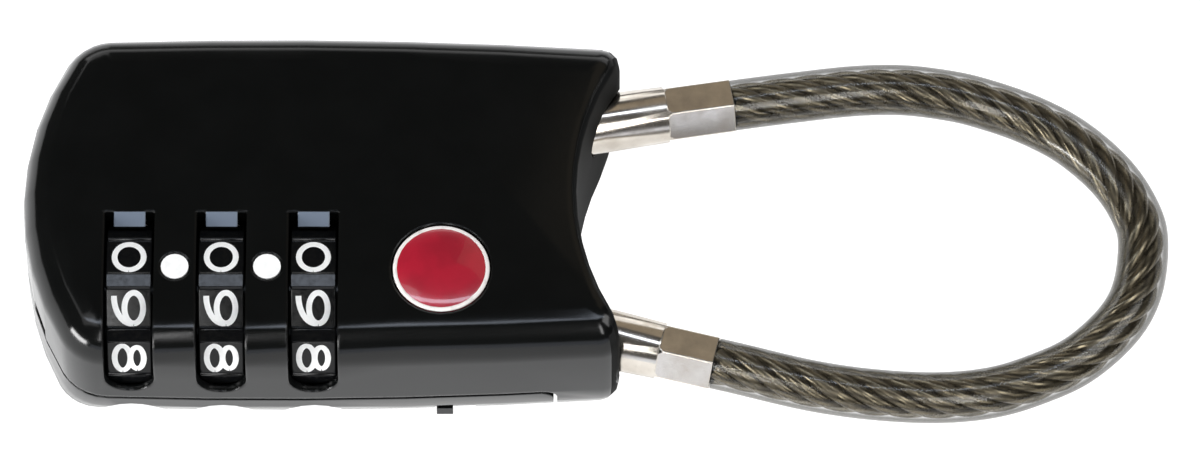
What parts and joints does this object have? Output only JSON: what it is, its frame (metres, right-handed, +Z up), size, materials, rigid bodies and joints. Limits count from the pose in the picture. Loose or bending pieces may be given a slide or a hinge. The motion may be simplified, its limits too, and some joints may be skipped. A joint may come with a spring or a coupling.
{
  "type": "cable luggage lock",
  "caption": "Combination luggage lock with code dials, a key override and a coated steel cable loop that plugs into its hollow end.",
  "frame": {"origin": "bottom centre of the lock's body, lying on its back, without the cable and its ferrules", "axes": "+X along the body towards the cable, +Y away from the dial edge, +Z up through the front face"},
  "size_m": [0.0914, 0.032, 0.0161],
  "materials": {
    "black_painted_zinc": "satin black paint on die-cast zinc",
    "black_plastic": "gloss",
    "steel": "bright drawn steel",
    "spring_steel": "spring temper",
    "brass": "turned",
    "nickel_plated_steel": "nickel plate",
    "clear_pvc": "clear, slightly yellow",
    "white_plastic": "matt",
    "red_enamel": "gloss dome with a pale rim"
  },
  "bodies": {
    "housing": {"front_housing": "black_painted_zinc", "back_cover": "black_painted_zinc", "index_dot_1": "white_plastic", "index_dot_2": "white_plastic", "badge_inlay": "red_enamel", "socket_bush": "black_painted_zinc", "key_cylinder": "brass", "cover_pin_1": "steel", "cover_pin_2": "steel", "cover_pin_3": "steel", "cover_pin_4": "steel", "captive_ferrule": "nickel_plated_steel", "captive_pin": "steel", "cable_rope": "steel", "cable_jacket": "clear_pvc", "click_spring": "spring_steel", "spindle_spring": "spring_steel", "latch_spring": "spring_steel"},
    "dial_1_body": {"dial_1": "black_plastic", "dial_hub_1": "black_plastic"},
    "dial_2_body": {"dial_2": "black_plastic", "dial_hub_2": "black_plastic"},
    "dial_3_body": {"dial_3": "black_plastic", "dial_hub_3": "black_plastic"},
    "spindle_body": {"spindle": "steel"},
    "latch_body": {"latch": "steel"},
    "key_body": {"key_plug": "brass", "wafer_1": "brass", "wafer_2": "brass", "wafer_3": "brass", "wafer_4": "brass", "key_tail": "steel", "plug_clip": "spring_steel"},
    "free_end": {"free_ferrule": "nickel_plated_steel"},
    "reset_body": {"reset_tab": "black_plastic"}
  },
  "joints": [
    {"name": "dial_1_turn", "type": "hinge", "parent": "housing", "child": "dial_1_body", "pos_m": [0, -0.00661, 0.0083], "axis": [1, 0, 0], "continuous": true},
    {"name": "dial_2_turn", "type": "hinge", "parent": "housing", "child": "dial_2_body", "pos_m": [0, -0.00661, 0.0083], "axis": [1, 0, 0], "continuous": true},
    {"name": "dial_3_turn", "type": "hinge", "parent": "housing", "child": "dial_3_body", "pos_m": [0, -0.00661, 0.0083], "axis": [1, 0, 0], "continuous": true},
    {"name": "spindle_shift", "type": "slide", "parent": "housing", "child": "spindle_body", "axis": [1, 0, 0], "range_m": [-0.0016, 0], "stiffness_N_per_m": 150, "springref_m": 0.003, "deforming": ["spindle_spring"]},
    {"name": "latch_slide", "type": "slide", "parent": "housing", "child": "latch_body", "axis": [0, 1, 0], "range_m": [-0.0009, 0], "deforming": ["latch_spring"]},
    {"name": "key_turn", "type": "hinge", "parent": "housing", "child": "key_body", "pos_m": [0, 0.00694, 0.0083], "axis": [1, 0, 0], "range_deg": [0, 90]},
    {"name": "free_end_pull", "type": "slide", "parent": "housing", "child": "free_end", "axis": [0.9724, -0.2299, -0.041], "range_m": [0, 0.014], "deforming": ["cable_rope", "cable_jacket"]},
    {"name": "reset_shift", "type": "slide", "parent": "housing", "child": "reset_body", "axis": [1, 0, 0], "range_m": [0, 0.0016]}
  ],
  "couplings": [
    {"joint": "latch_slide", "follows": "spindle_shift", "ratio": 0.5625}
  ]
}
